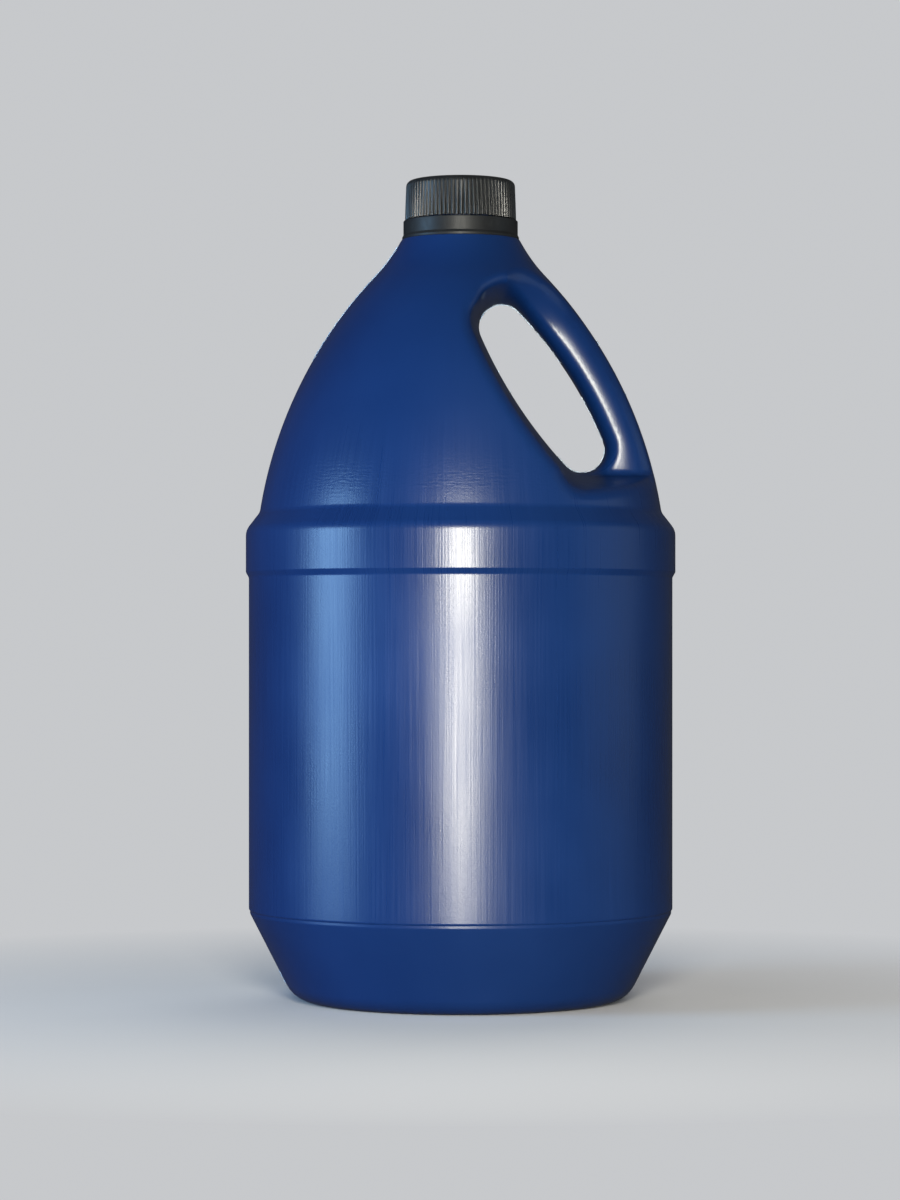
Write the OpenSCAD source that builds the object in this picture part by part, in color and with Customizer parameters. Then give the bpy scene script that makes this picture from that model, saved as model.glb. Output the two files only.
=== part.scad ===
// Round gallon jug, blow-moulded in one piece with a hollow through handle, with its ribbed screw cap,
// the foam disc that seals the cap and the tamper band that stays on the neck.
// Millimetres, +Z up. The origin is on the jug's axis at the plane it stands on, the handle is at +X
// and the mould's parting plane is XZ.

/* [Shell] */
// Outer radius of the straight panel
panel_r = 77.8; // [70:0.1:88]
// Thickness of the blown wall
wall = 1.05; // [0.8:0.05:1.6]
// Height of the straight panel
panel_h = 121.5; // [90:0.5:160]

/* [Base] */
// Height of the cone between the base and the panel
base_h = 32; // [24:0.5:40]
// Radius at which that cone would meet the standing plane
base_r = 61; // [54:0.5:66]
// Radius of the heel between the cone and the standing ring
heel_round = 10.8; // [6:0.1:12]
// Inner radius of the ring that the jug stands on
foot_r = 49; // [44:0.5:51]
// Depth of the recessed bottom
push_up = 4.5; // [2:0.1:7]
// Height of the plain land under the panel
land_h = 1.1; // [0.6:0.1:2]
// Step from that land out to the panel
land_step = 0.45; // [0.2:0.05:0.8]

/* [Belt] */
// How far the belt stands out from the panel
belt_proud = 1.1; // [0.5:0.1:2]
// Height of the sloped step from the panel out to the belt
belt_step_h = 2; // [1:0.1:4]
// Height of the belt's outer face
belt_h = 15.3; // [8:0.1:30]
// Radius that rounds the belt's top edge
belt_round = 6; // [2:0.5:8]
// Depth of the valley above the belt, measured from the panel
valley_depth = 4; // [2:0.1:6]
// Height of the slope from the belt down into the valley
valley_h = 6.6; // [4:0.1:10]
// Radius that softens the bottom of the valley
valley_round = 4; // [1:0.5:5]

/* [Shoulder] */
// Height from the valley to the ledge under the tamper band
shoulder_h = 100.2; // [90:0.1:120]
// Lean of the shoulder from upright at the valley, in degrees
shoulder_lean = 9.5; // [5:0.5:14]
// Lean of the shoulder from upright where it meets the ledge, in degrees
neck_lean = 28; // [20:0.5:34]
// Radius of the hollow curve below the ledge
neck_round = 63; // [50:1:80]

/* [Handle] */
// Thickness of the handle from its back to the middle of the finger hole
handle_thick = 15.2; // [12:0.1:18]
// Full depth of the handle from front to back at the grip
handle_depth = 23; // [16:0.5:28]
// Distance of the handle's ridge from the finger hole
handle_ridge = 5.5; // [4:0.1:7]
// Length of the handle's ridge over which its depth grows to that of the shell
root_flare = 34; // [26:1:40]
// Angle round the upper end of the finger hole at which it has grown, in degrees
root_turn = 40; // [25:1:55]

/* [Finger hole] */
// Clear width of the finger hole
grip_gap = 21.5; // [18:0.1:25]
// Height of the middle of the finger hole above the valley
grip_mid = 45.8; // [42:0.1:50]
// Turn of the finger hole against the back of the handle, in degrees
grip_tilt = 2; // [0:0.1:4]
// Radius of the long edge on the jug's side
grip_back_round = 172; // [140:1:220]
// Radius of the two ends
grip_end_round = 8.3; // [6:0.1:9.5]
// Draft of the long wall, in degrees
side_draft = 2.5; // [1:0.5:5]
// Draft of the upper end, in degrees
top_draft = 6; // [4:0.5:9]
// Draft of the floor, in degrees
floor_draft = 7.5; // [4:0.5:10]
// Roll of the long wall's edge where it runs out into the shell
rim_roll = 3; // [2:0.1:5]

/* [Neck] */
// Radius of the ledge that carries the tamper band
ledge_r = 21.7; // [21:0.1:24]
// Height of the solid ring under the ledge
ledge_h = 2.4; // [1.5:0.1:4]
// Radius of the neck at the root of its thread
neck_r = 17.2; // [16.4:0.1:17.6]
// Radius of the mouth
mouth_r = 15.2; // [13:0.1:15.6]
// Height of the locking bead's middle above the ledge
bead_z = 5.4; // [4.8:0.1:5.8]
// How far the locking bead stands out from the neck
bead_proud = 1.5; // [0.8:0.1:1.7]

/* [Closure] */
// Height of the tamper band
band_h = 7; // [6.4:0.1:9]
// Outer radius of the tamper band
band_r = 21.05; // [20.6:0.05:22]
// How far the band's foot flares out
band_flare = 0.45; // [0.2:0.05:0.8]
// Wall of the tamper band
band_wall = 1.5; // [1:0.1:1.6]
// Gap between the tamper band and the cap
band_gap = 0.4; // [0.3:0.05:0.8]
// Height of the cap
cap_h = 14.4; // [13:0.1:18]
// Outer radius of the cap at its open edge
cap_r = 20.5; // [20.2:0.05:21.5]
// Lean of the cap's side from upright, in degrees
cap_lean = 2.2; // [0:0.1:3]
// Radius that rounds the cap's top edge
cap_round = 2.2; // [1:0.1:3]
// Thickness of the cap's top
cap_top = 1.4; // [1:0.1:2]
// Inner radius of the cap's skirt
cap_bore_r = 18.75; // [18.5:0.05:19]
// Number of ribs round the cap
rib_count = 80; // [48:1:110]
// Depth of the ribs at the open edge
rib_depth = 0.9; // [0.4:0.05:1]
// Thickness of the foam disc
liner_t = 1; // [0.6:0.1:1.6]
// Clearance round the foam disc
liner_gap = 0.35; // [0.3:0.05:0.8]

/* [Hidden] */
$fn = 96;

blue = "#1d3f8a";
black = "#17181b";
foam = "#e9e7e0";
far = 2 * panel_r;

// Levels and radii up the shell
land_z = base_h + land_h;
panel_z = land_z + land_step;
step_z = panel_z + panel_h;
belt_z = step_z + belt_step_h;
belt_top_z = belt_z + belt_h;
valley_z = belt_top_z + valley_h;
ledge_z = valley_z + shoulder_h;
land_r = panel_r - land_step;
belt_r = panel_r + belt_proud;
valley_r = panel_r - valley_depth;

// Levels up the closure
cap_z = ledge_z + band_h + band_gap;
cap_top_z = cap_z + cap_h;
liner_z = cap_top_z - cap_top - liner_t;
neck_top_z = liner_z;

// Plane geometry, with points as [radius, height] or [x, z]
function heading(a) = [cos(a), sin(a)];
function left_of(d) = [-d.y, d.x];
function unit(v) = v / norm(v);
function wedge(a, b) = a.x * b.y - a.y * b.x;
function arc(c, r, a0, a1, n) = [for (i = [0:n]) c + r * heading(a0 + (a1 - a0) * i / n)];

// Crossing of the line through a along d with the line through b along e
function crossing(a, d, b, e) = a + d * wedge(b - a, e) / wedge(d, e);

// Upper or lower crossing of two circles
function circles_meet(ca, ra, cb, rb, side) =
    let (d = norm(cb - ca), along = (ra * ra - rb * rb + d * d) / (2 * d))
    ca + along * unit(cb - ca) + side * sqrt(ra * ra - along * along) * left_of(unit(cb - ca));

// Path of corners moved to its left by t
function inset_path(path, t) =
    let (
        last = len(path) - 1,
        dirs = [for (i = [0:last - 1]) unit(path[i + 1] - path[i])],
        starts = [for (i = [0:last - 1]) path[i] + t * left_of(dirs[i])]
    )
    [for (i = [0:last])
        i == 0 ? starts[0]
        : i == last ? path[last] + t * left_of(dirs[last - 1])
        : crossing(starts[i - 1], dirs[i - 1], starts[i], dirs[i])];

// One corner b of a path from a to c, rounded with radius r in n steps
function rounded_corner(a, b, c, r, n) =
    let (
        d = unit(b - a),
        e = unit(c - b),
        turn = atan2(wedge(d, e), d * e),
        side = sign(turn),
        centre = b - d * r * tan(abs(turn) / 2) + side * r * left_of(d),
        a0 = atan2(-side * left_of(d).y, -side * left_of(d).x)
    )
    r <= 0 ? [b] : arc(centre, r, a0, a0 + turn, n);

// Corners of the shell from the middle of its bottom to the foot of the shoulder, each with its rounding
// radius, which shrinks inside an outer corner and grows inside an inner one
shoulder_start = [valley_r, valley_z] + valley_round / 2 * [-sin(shoulder_lean), cos(shoulder_lean)];
shell_corners = [
    [0, push_up],
    [foot_r - 2 * push_up, push_up],
    [foot_r, 0],
    [base_r, 0],
    [land_r, base_h],
    [land_r, land_z],
    [panel_r, panel_z],
    [panel_r, step_z],
    [belt_r, belt_z],
    [belt_r, belt_top_z],
    [valley_r, valley_z],
    shoulder_start
];
function shell_rounding(t) =
    [0, push_up + t, wall * 2 - t, heel_round - t, 0, 0, 0, 0, 0, belt_round - t, valley_round + t, 0];
round_steps = 5;

function lower_profile(t) =
    let (path = inset_path(shell_corners, t), radii = shell_rounding(t), last = len(path) - 1)
    [for (i = [0:last - 1])
        for (p = i == 0 ? [path[0]] : rounded_corner(path[i - 1], path[i], path[i + 1], radii[i], round_steps))
            p];

// The shoulder is one bulging arc that runs over into one hollow arc below the ledge. The bulging arc's radius
// follows from the two ends, their leans and the hollow arc.
neck_centre = [ledge_r, ledge_z] + neck_round * heading(neck_lean);
start_normal = heading(shoulder_lean);
reach = neck_centre - shoulder_start;
shoulder_round = (reach * reach - neck_round * neck_round) / (2 * (neck_round - reach * start_normal));
shoulder_centre = shoulder_start - shoulder_round * start_normal;
turnover = atan2(neck_centre.y - shoulder_centre.y, neck_centre.x - shoulder_centre.x);
bulge_steps = 22;
hollow_steps = 6;

function upper_profile(t) = concat(
    arc(shoulder_centre, shoulder_round - t, shoulder_lean, turnover, bulge_steps),
    [for (i = [1:hollow_steps])
        neck_centre - (neck_round + t) * heading(turnover + (neck_lean - turnover) * i / hollow_steps)]);

// Radius of the shoulder's bulging arc at height z, inset by t
function shoulder_r(z, t) =
    shoulder_centre.x + sqrt(max(pow(shoulder_round - t, 2) - pow(z - shoulder_centre.y, 2), 0));

// Finger hole in the parting plane: a lens between the handle's inner arc and the arc on the jug's side, with
// round ends. "out" points from the inner arc's centre across the hole and "up" runs along it.
inner_arc_r = shoulder_round - handle_thick;
grip_mid_r = inner_arc_r - grip_gap / 2;
grip_level = asin((valley_z + grip_mid - shoulder_centre.y) / grip_mid_r);
grip_centre = shoulder_centre + grip_mid_r * heading(grip_level);
grip_angle = grip_level + grip_tilt;
grip_out = heading(grip_angle);
grip_up = left_of(grip_out);
inner_centre = grip_centre - grip_mid_r * grip_out;
back_centre = grip_centre + (grip_back_round - grip_gap / 2) * grip_out;
function grip_end(side) =
    circles_meet(inner_centre, inner_arc_r - grip_end_round, back_centre, grip_back_round - grip_end_round, side);
top_end = grip_end(1);
bottom_end = grip_end(-1);

// The recess is open past the back of the handle. Its outline runs in along the top, round the upper end, down
// the long edge, round the lower end and out along the floor. Each entry is a point with its outward normal.
top_steps = 3;
end_steps = 8;
side_steps = 12;
floor_steps = 5;
top_exit = shoulder_round * cos(turnover - grip_angle) - (top_end - shoulder_centre) * grip_out;
floor_exit = shoulder_r(bottom_end.y - grip_end_round, 0) - bottom_end.x;
function side_angle(p) = atan2(p.y - back_centre.y, p.x - back_centre.x) + (p.y < back_centre.y ? 360 : 0);
a_top = side_angle(top_end);
a_bottom = side_angle(bottom_end);
function ray(p, n) = [p, n];
recess_outline = concat(
    [ray(top_end + grip_end_round * grip_up + far * grip_out, grip_up)],
    [for (i = [0:top_steps - 1])
        ray(top_end + grip_end_round * grip_up + top_exit * (1 - i / top_steps) * grip_out, grip_up)],
    [for (i = [0:end_steps - 1])
        let (a = grip_angle + 90 + (a_top - grip_angle - 90) * i / end_steps)
        ray(top_end + grip_end_round * heading(a), heading(a))],
    [for (i = [0:side_steps - 1])
        let (a = a_top + (a_bottom - a_top) * i / side_steps)
        ray(back_centre + grip_back_round * heading(a), heading(a))],
    [for (i = [0:end_steps - 1])
        let (a = a_bottom + (270 - a_bottom) * i / end_steps)
        ray(bottom_end + grip_end_round * heading(a), heading(a))],
    [for (i = [0:floor_steps])
        ray(bottom_end + [floor_exit * i / floor_steps, -grip_end_round], [0, -1])],
    [ray(bottom_end + [far, -grip_end_round], [0, -1])]);

// Depth of the shell's surface in front of point p of the parting plane
least_depth = handle_depth;
function depth_at(p, t) =
    sqrt(max(pow(shoulder_r(p.y, t), 2) - p.x * p.x, least_depth * least_depth));

// A wall with normal n leans out by its draft and rolls over towards the shell as a quarter ellipse, whose crest
// stands a little past the surface. Round the upper end the roll grows to that of the handle's ridge.
crest_over = 1.5;
roll_angles = [0, 25, 45, 58, 68, 76, 83, 90];
end_power = 4;
function end_share(n) = pow(n.y, end_power);
function wall_slant(n) = tan(side_draft + ((n.y > 0 ? top_draft : floor_draft) - side_draft) * end_share(n));
function wall_roll(n) = rim_roll + (n.y > 0 ? handle_ridge - rim_roll : 0) * end_share(n);
function crest_depth(p, n, roll, t) =
    crest_over + depth_at(p + n * (t + roll + wall_slant(n) * depth_at(p + n * roll, t)), t);

// One outline point carried out to the crest and on past the shell, as [offset along the normal, depth] pairs
function wall_path(ray, t) =
    let (n = ray[1], roll = wall_roll(n), crest = crest_depth(ray[0], n, roll, t), slant = wall_slant(n))
    concat(
        [for (a = roll_angles) [t + slant * crest * sin(a) + roll * (1 - cos(a)), crest * sin(a)]],
        [[t + slant * crest + 2 * roll, far]]);

// Skin over a stack of closed rings with the same number of points, capped at both ends
module ring_stack(rings) {
    n = len(rings[0]);
    last = len(rings) - 1;
    sides = [for (j = [0:last - 1]) for (i = [0:n - 1])
        let (k = (i + 1) % n, a = j * n, b = a + n)
        each [[a + i, a + k, b + k], [a + i, b + k, b + i]]];
    polyhedron(
        points = [for (ring = rings) each ring],
        faces = concat([[for (i = [n - 1:-1:0]) i]], sides, [[for (i = [0:n - 1]) last * n + i]]),
        convexity = 6);
}

// Recess through the shell from front to back, grown by t
module recess(t) {
    walls = [for (ray = recess_outline) wall_path(ray, t)];
    stations = len(walls[0]) - 1;
    function ring(j, side) = [for (k = [0:len(walls) - 1])
        let (p = recess_outline[k][0] + walls[k][j].x * recess_outline[k][1])
        [p.x, side * walls[k][j].y, p.y]];
    ring_stack(concat(
        [for (j = [stations:-1:1]) ring(j, -1)],
        [for (j = [0:stations]) ring(j, 1)]));
}

// Handle as a bar swept along the finger hole's edge, shrunk by t. It starts under the floor of the recess, turns
// round the lower end of the hole, follows the handle's inner arc and turns round the upper end, where its depth
// grows to the shell's and its inner side runs over into the wall of the recess. Its back stands a little past the
// shell, which trims it.
back_proud = 0.5;
root_proud = 6;
bar_steps = 14;
bar_sides = 24;
fan_steps = 10;
low_turn = 115;
high_turn = 105;
fan_clear = 0.5;
function inner_angle(p) = atan2(p.y - inner_centre.y, p.x - inner_centre.x);
grip_low = inner_angle(bottom_end);
grip_high = inner_angle(top_end);
fan_ridge_r = grip_end_round + handle_ridge;
arc_ridge_r = inner_arc_r + handle_ridge;

// Share of the way from the handle's own depth to the shell's, at a length along the ridge past the inner arc's end
growth_power = 3;
function along(turn, r) = turn * r * PI / 180;
function growth(s) = pow(min(max(1 + (s - along(root_turn, fan_ridge_r)) / root_flare, 0), 1), growth_power);

// Distance from c to the shell's surface in the direction a
function shell_reach(c, a) =
    let (v = c - shoulder_centre, b = v * heading(a))
    sqrt(b * b - v * v + shoulder_round * shoulder_round) - b;

// Sections of the bar as [centre, direction, radius of the inner side, radius of the ridge, growth]. The last turn
// round each end lies a little behind the recess's own wall.
function clear_of(i) = fan_clear * pow(max(2 * i / fan_steps - 1, 0), 2);
bar_sections = concat(
    [for (i = [fan_steps:-1:1])
        [bottom_end, grip_low - low_turn * i / fan_steps, grip_end_round + clear_of(i), fan_ridge_r, 0]],
    [for (i = [0:bar_steps - 1])
        let (a = grip_low + (grip_high - grip_low) * i / bar_steps)
        [inner_centre, a, inner_arc_r, arc_ridge_r, growth(along(a - grip_high, arc_ridge_r))]],
    [for (i = [0:fan_steps])
        let (turn = high_turn * i / fan_steps)
        [top_end, grip_high + turn, grip_end_round + clear_of(i), fan_ridge_r, growth(along(turn, fan_ridge_r))]]);

module handle_bar(t) {
    ring_stack([for (section = bar_sections)
        let (
            c = section[0],
            n = heading(section[1]),
            front_r = section[2] + t,
            ridge_r = section[3],
            grown = section[4],
            back_r = shell_reach(c, section[1]) + back_proud + root_proud * grown - t,
            own_depth = handle_depth / 2 - t,
            root_depth = crest_depth(c + section[2] * n, n, handle_ridge, t),
            half_depth = own_depth + (root_depth - own_depth) * grown,
            slant = wall_slant(n) * grown
        )
        [for (k = [0:bar_sides - 1])
            let (
                turn = -360 * k / bar_sides,
                y = half_depth * sin(turn),
                spread = cos(turn) > 0 ? back_r - ridge_r : ridge_r - front_r,
                p = c + (ridge_r + spread * cos(turn) + slant * abs(y)) * n
            )
            [p.x, y, p.y]]]);
}

// Solid of the shell's surface inset by t: the turned form, less the recess but for the handle
module blown_form(t, upper) {
    difference() {
        rotate_extrude() polygon(concat(lower_profile(t), upper));
        difference() {
            recess(t);
            handle_bar(t);
        }
    }
}

bead_slope = bead_proud / 2;
outer_top = concat(
    upper_profile(0),
    [
        [neck_r, ledge_z],
        [neck_r, ledge_z + bead_z - bead_proud],
        [neck_r + bead_proud, ledge_z + bead_z - bead_slope],
        [neck_r + bead_proud, ledge_z + bead_z],
        [neck_r, ledge_z + bead_z + bead_proud],
        [neck_r, neck_top_z],
        [0, neck_top_z]
    ]);
ceiling_z = ledge_z - ledge_h;
inner_top = concat(
    [for (p = upper_profile(wall)) if (p.y < ceiling_z - wall) p],
    [
        [mouth_r + ledge_h, ceiling_z],
        [mouth_r, ceiling_z + ledge_h],
        [mouth_r, neck_top_z + wall],
        [0, neck_top_z + wall]
    ]);

module jug_body() {
    color(blue) difference() {
        blown_form(0, outer_top);
        blown_form(wall, inner_top);
    }
}

// Screw cap: ribs trimmed by a leaning, round-edged turned form, hollowed from below
cap_top_r = cap_r - cap_h * tan(cap_lean);
rib_root_r = cap_r - rib_depth;
rib_pitch = 360 / rib_count;
rib_shares = [0, 0.3, 0.5, 0.8];
rib_outline = [for (i = [0:rib_count - 1]) for (k = [0:3])
    (k < 2 ? cap_r : rib_root_r) * heading(rib_pitch * (i + rib_shares[k]))];
cap_profile = concat(
    [[0, cap_z], [cap_r, cap_z]],
    rounded_corner([cap_r, cap_z], [cap_top_r, cap_top_z], [0, cap_top_z], cap_round, round_steps),
    [[0, cap_top_z]]);

module cap() {
    color(black) difference() {
        intersection() {
            translate([0, 0, cap_z]) linear_extrude(cap_h) polygon(rib_outline);
            rotate_extrude() polygon(cap_profile);
        }
        translate([0, 0, cap_z - cap_top]) cylinder(r = cap_bore_r, h = cap_h);
    }
}

module cap_liner() {
    color(foam) translate([0, 0, liner_z]) cylinder(r = cap_bore_r - liner_gap, h = liner_t);
}

// Tamper band: flared foot outside, and inside a lip that catches under the neck's locking bead
band_bore_r = band_r - band_wall;
lip_r = neck_r + bead_proud / 2;
lip_z = ledge_z + bead_z - 2 * bead_proud;
band_profile = [
    [band_bore_r, ledge_z],
    [band_r + band_flare, ledge_z],
    [band_r + band_flare, ledge_z + 2 * band_flare],
    [band_r, ledge_z + 4 * band_flare],
    [band_r, ledge_z + band_h - band_flare],
    [band_r - band_flare, ledge_z + band_h],
    [band_bore_r, ledge_z + band_h],
    [band_bore_r, lip_z + bead_slope],
    [lip_r, lip_z + bead_slope],
    [lip_r, lip_z]
];

module tamper_band() {
    color(black) rotate_extrude() polygon(band_profile);
}

jug_body();
cap();
cap_liner();
tamper_band();
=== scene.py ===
"""Looks of a blow-moulded gallon jug with a ribbed screw cap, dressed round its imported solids.

Sizes are in millimetres, as the solids' own sizes are, and are turned into metres where a mesh is made.
"""
import math

import bpy
import numpy as np
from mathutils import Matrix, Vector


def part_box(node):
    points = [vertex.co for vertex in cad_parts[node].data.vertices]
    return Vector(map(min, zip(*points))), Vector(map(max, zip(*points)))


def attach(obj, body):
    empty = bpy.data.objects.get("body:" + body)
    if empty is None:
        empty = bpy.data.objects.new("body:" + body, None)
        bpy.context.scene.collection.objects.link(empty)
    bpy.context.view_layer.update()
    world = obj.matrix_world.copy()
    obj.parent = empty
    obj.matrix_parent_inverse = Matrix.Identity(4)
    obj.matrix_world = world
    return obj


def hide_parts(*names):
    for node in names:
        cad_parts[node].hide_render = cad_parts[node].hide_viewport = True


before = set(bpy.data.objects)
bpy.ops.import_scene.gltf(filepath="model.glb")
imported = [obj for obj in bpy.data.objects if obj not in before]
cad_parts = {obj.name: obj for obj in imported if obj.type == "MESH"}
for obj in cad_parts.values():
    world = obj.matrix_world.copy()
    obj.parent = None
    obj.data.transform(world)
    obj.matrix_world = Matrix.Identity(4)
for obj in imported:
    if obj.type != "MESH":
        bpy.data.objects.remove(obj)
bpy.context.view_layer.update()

MM = 0.001
TINY = 1e-9


def node_levels(node):
    """Lowest and highest level of a CAD node, in millimetres."""
    low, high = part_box(node)
    return low.z / MM, high.z / MM


# Levels of the closure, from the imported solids
LEDGE_Z, BAND_TOP_Z = node_levels("tamper_band")
CAP_Z, CAP_TOP_Z = node_levels("cap")
NECK_TOP_Z = node_levels("jug_body")[1]

# Shell
PANEL_R = 77.8
WALL = 1.05
BASE_H = 32
BASE_R = 61
FOOT_R = 49
PUSH_UP = 4.5
FOOT_ROUND = 10.8
BASE_EDGE_ROUND = 1.2
LAND_H = 1.1
LAND_STEP = 0.45
LAND_ROUND = 0.25
PANEL_H = 121.5
PANEL_EDGE_ROUND = 0.9
BELT_PROUD = 1.1
BELT_STEP_H = 2
BELT_STEP_ROUND = 1.6
BELT_EDGE_ROUND = 0.9
BELT_H = 15.3
BELT_TOP_ROUND = 6
VALLEY_DEPTH = 4
VALLEY_H = 6.6
VALLEY_ROUND = 4
LAND_Z = BASE_H + LAND_H
PANEL_Z = LAND_Z + LAND_STEP
STEP_Z = PANEL_Z + PANEL_H
BELT_Z = STEP_Z + BELT_STEP_H
BELT_TOP_Z = BELT_Z + BELT_H
VALLEY_Z = BELT_TOP_Z + VALLEY_H
LAND_R = PANEL_R - LAND_STEP
BELT_R = PANEL_R + BELT_PROUD
VALLEY_R = PANEL_R - VALLEY_DEPTH

# Shoulder, in degrees where the name says lean
SHOULDER_LEAN = 9.5
NECK_LEAN = 28
NECK_ROUND = 63

# Handle and finger hole, in degrees where the name says tilt or draft
HANDLE_THICK = 15.2
HANDLE_DEPTH = 23
HANDLE_RIDGE = 5.5
ROOT_FLARE = 34
ROOT_TURN = math.radians(40)
ROOT_PROUD = 6
BACK_PROUD = 0.5
GRIP_GAP = 21.5
GRIP_MID = 45.8
GRIP_TILT = 2
GRIP_BACK_ROUND = 172
GRIP_END_ROUND = 8.3
SIDE_DRAFT = 2.5
TOP_DRAFT = 6
FLOOR_DRAFT = 7.5
RIM_ROLL = 3
CREST_OVER = 1.5
END_POWER = 4
GROWTH_POWER = 3
HIGH_TURN = math.radians(105)
LOW_TURN = math.radians(115)
FAN_CLEAR = 0.5
FAN_FADE = 14
RIDGE_POWER = 2.4
LEAST_SPREAD = 1

# Roundings that the solids leave out. The handle's fillet spreads with the depth, and the shell's edge is
# softer away from the handle and in the depth.
RIM_BLEND = 3.6
BACK_BLEND = 0.8
EDGE_BLEND = 0.6
TOP_SPREAD = 0.12
FOOT_SPREAD = 0.2
SPREAD_REACH = 12
SOFT_DISTANCE = (0.5, 7)
SOFT_DEPTH = (0.35, 0.9)

# Neck
LEDGE_R = 21.7
LEDGE_H = 2.4
LEDGE_LIP = 0.4
NECK_R = 17.2
MOUTH_R = 15.2
BEAD_Z = 5.4
BEAD_PROUD = 1.5

# Edges of the neck and the closure
LIP_EDGE = 0.12
FINE_EDGE = 0.2
RIM_EDGE = 0.25
SOFT_EDGE = 0.3
ROUND_EDGE = 0.4
BORE_ROUND = 0.5
CORNER_ROUND = 0.6
CEILING_ROUND = 1

# Closure
BAND_R = 21.05
BAND_FLARE = 0.45
BAND_WALL = 1.5
CAP_R = 20.5
CAP_LEAN = 2.2
CAP_ROUND = 2.2
CAP_TOP = 1.4
CAP_BORE_R = 18.75
CAP_LIP = 0.5
LID_EDGE = 1
RIB_COUNT = 80
RIB_DEPTH = 0.9
RIB_PHASE = 0.15
RIB_BLEND = 0.22
STUB_COUNT = 12
STUB_PHASE = 0.3
STUB_H = 0.25
STUB_SUNK = 0.1
STUB_HALF_DEPTH = 0.3
STUB_HALF_WIDTH = 0.55
THREAD_PITCH = 4.23
THREAD_GAP = 0.4
THREAD_START = 2.2
NECK_TURNS = 1.6
CAP_TURNS = 1.3


def heading(degrees):
    """Unit vector at an angle in a plane."""
    a = math.radians(degrees)
    return np.array([math.cos(a), math.sin(a)])


def left_of(v):
    """Plane vector turned a quarter to the left."""
    return np.array([-v[1], v[0]])


def wedge(a, b):
    """Cross product of two plane vectors; b may hold arrays."""
    return a[0] * b[1] - a[1] * b[0]


def angle_of(v):
    """Angle of a plane vector, in degrees."""
    return math.degrees(math.atan2(v[1], v[0]))


# The shoulder is one bulging arc that runs over into one hollow arc under the ledge
FOOT_POINT = np.array([VALLEY_R, VALLEY_Z]) + VALLEY_ROUND / 2 * left_of(heading(SHOULDER_LEAN))
NECK_CENTRE = np.array([LEDGE_R, LEDGE_Z]) + NECK_ROUND * heading(NECK_LEAN)
REACH = NECK_CENTRE - FOOT_POINT
SHOULDER_ROUND = (REACH @ REACH - NECK_ROUND**2) / (2 * (NECK_ROUND - REACH @ heading(SHOULDER_LEAN)))
SHOULDER_CENTRE = FOOT_POINT - SHOULDER_ROUND * heading(SHOULDER_LEAN)
TURNOVER = angle_of(NECK_CENTRE - SHOULDER_CENTRE)

# The finger hole is a lens between the handle's inner arc and the arc on the jug's side, with round ends
INNER_ARC_R = SHOULDER_ROUND - HANDLE_THICK
END_ARC_R = INNER_ARC_R - GRIP_END_ROUND
GRIP_MID_R = INNER_ARC_R - GRIP_GAP / 2
GRIP_LEVEL = math.degrees(math.asin((VALLEY_Z + GRIP_MID - SHOULDER_CENTRE[1]) / GRIP_MID_R))
GRIP_CENTRE = SHOULDER_CENTRE + GRIP_MID_R * heading(GRIP_LEVEL)
GRIP_OUT = heading(GRIP_LEVEL + GRIP_TILT)
GRIP_UP = left_of(GRIP_OUT)
INNER_CENTRE = GRIP_CENTRE - GRIP_MID_R * GRIP_OUT
BACK_CENTRE = GRIP_CENTRE + (GRIP_BACK_ROUND - GRIP_GAP / 2) * GRIP_OUT
BACK_END_R = GRIP_BACK_ROUND - GRIP_END_ROUND


def grip_end(side):
    """Centre of the hole's upper (1) or lower (-1) round end."""
    span = np.linalg.norm(BACK_CENTRE - INNER_CENTRE)
    along = (END_ARC_R**2 - BACK_END_R**2 + span**2) / (2 * span)
    return INNER_CENTRE + along * GRIP_OUT + side * math.sqrt(END_ARC_R**2 - along**2) * GRIP_UP


TOP_END = grip_end(1)
LOW_END = grip_end(-1)
TOP_BACK = (TOP_END - BACK_CENTRE) / BACK_END_R
LOW_BACK = (LOW_END - BACK_CENTRE) / BACK_END_R
DOWN = np.array([0.0, -1.0])
GRIP_LOW = math.radians(angle_of(LOW_END - INNER_CENTRE))
GRIP_HIGH = math.radians(angle_of(TOP_END - INNER_CENTRE))
FAN_RIDGE_R = GRIP_END_ROUND + HANDLE_RIDGE
ARC_RIDGE_R = INNER_ARC_R + HANDLE_RIDGE


# Fields of the shoulder: distance outside each form, in millimetres

def smooth_max(a, b, k):
    """Larger of two fields, with the edge between them rounded over k."""
    h = np.maximum(k - np.abs(a - b), 0) / k
    return np.maximum(a, b) + h * h * k / 4


def smooth_min(a, b, k):
    """Smaller of two fields, with the edge between them rounded over k."""
    return -smooth_max(-a, -b, k)


def smooth_step(low, high, v):
    """Share that rises smoothly from 0 at low to 1 at high."""
    s = np.clip((v - low) / (high - low), 0, 1)
    return s * s * (3 - 2 * s)


def turned_field(x, y, z):
    """The shoulder as a turned form."""
    rho = np.hypot(x, y)
    from_bulge = (rho - SHOULDER_CENTRE[0], z - SHOULDER_CENTRE[1])
    bulge = np.hypot(*from_bulge) - SHOULDER_ROUND
    hollow = NECK_ROUND - np.hypot(rho - NECK_CENTRE[0], z - NECK_CENTRE[1])
    return np.where(wedge(heading(TURNOVER), from_bulge) > 0, hollow, bulge)


def depth_at(x, z):
    """Depth of the turned shoulder in front of points of the parting plane."""
    r = SHOULDER_CENTRE[0] + np.sqrt(np.maximum(SHOULDER_ROUND**2 - (z - SHOULDER_CENTRE[1]) ** 2, 0))
    return np.sqrt(np.maximum(r * r - x * x, HANDLE_DEPTH**2))


def end_share(nz):
    """How far a wall with this upright part of its normal belongs to an end of the recess."""
    return nz**END_POWER


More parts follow.
